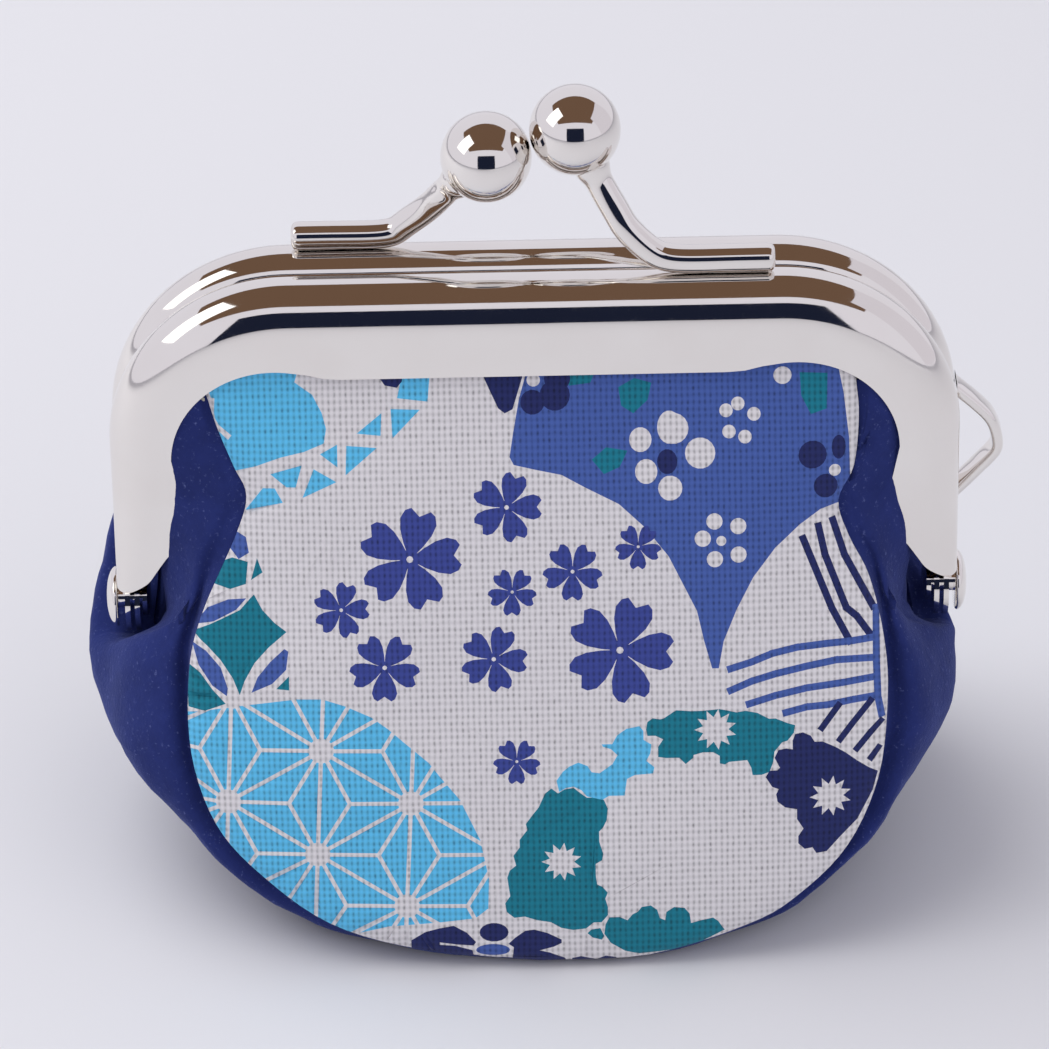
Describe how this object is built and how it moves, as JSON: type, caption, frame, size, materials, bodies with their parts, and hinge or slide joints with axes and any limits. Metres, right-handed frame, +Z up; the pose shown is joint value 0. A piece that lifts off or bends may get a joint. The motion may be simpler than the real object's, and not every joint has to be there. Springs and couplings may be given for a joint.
{
  "type": "kiss-lock coin purse",
  "caption": "Small gusseted cloth purse sewn into a hinged steel channel frame that snaps shut with a ball clasp and carries a strap loop.",
  "frame": {"origin": "middle of the flat patch that the bag rests on, below the middle of the rivet axis", "axes": "+Z up, -Y out of the front panel, +X along the rivet axis towards the strap loop"},
  "size_m": [0.0713, 0.0412, 0.0658],
  "materials": {
    "printed_cotton": "plain-weave cotton sheeting printed in blues and teal on off-white",
    "navy_felt": "brushed navy cloth with a short matt nap",
    "lining_cotton": "plain undyed cotton",
    "nickel_plate": "polished nickel plate on pressed steel",
    "paper_cord": "twisted kraft paper cord"
  },
  "bodies": {
    "bag": {"front_panel": "printed_cotton", "rear_panel": "printed_cotton", "gusset": "navy_felt", "front_lining": "lining_cotton", "rear_lining": "lining_cotton", "gusset_lining": "lining_cotton", "left_rivet": "nickel_plate", "right_rivet": "nickel_plate"},
    "front_half": {"front_frame": "nickel_plate", "front_paper_cord": "paper_cord", "front_clasp_arm": "nickel_plate", "front_clasp_ball": "nickel_plate"},
    "rear_half": {"rear_frame": "nickel_plate", "rear_paper_cord": "paper_cord", "rear_clasp_arm": "nickel_plate", "rear_clasp_ball": "nickel_plate", "strap_loop": "nickel_plate"}
  },
  "joints": [
    {"name": "front_hinge", "type": "hinge", "parent": "bag", "child": "front_half", "pos_m": [0, 0, 0.0217], "axis": [1, 0, 0], "range_deg": [0, 45]},
    {"name": "rear_hinge", "type": "hinge", "parent": "bag", "child": "rear_half", "pos_m": [0, 0, 0.0217], "axis": [-1, 0, 0], "range_deg": [0, 45]}
  ],
  "couplings": [
    {"joint": "rear_hinge", "follows": "front_hinge", "ratio": 1}
  ]
}
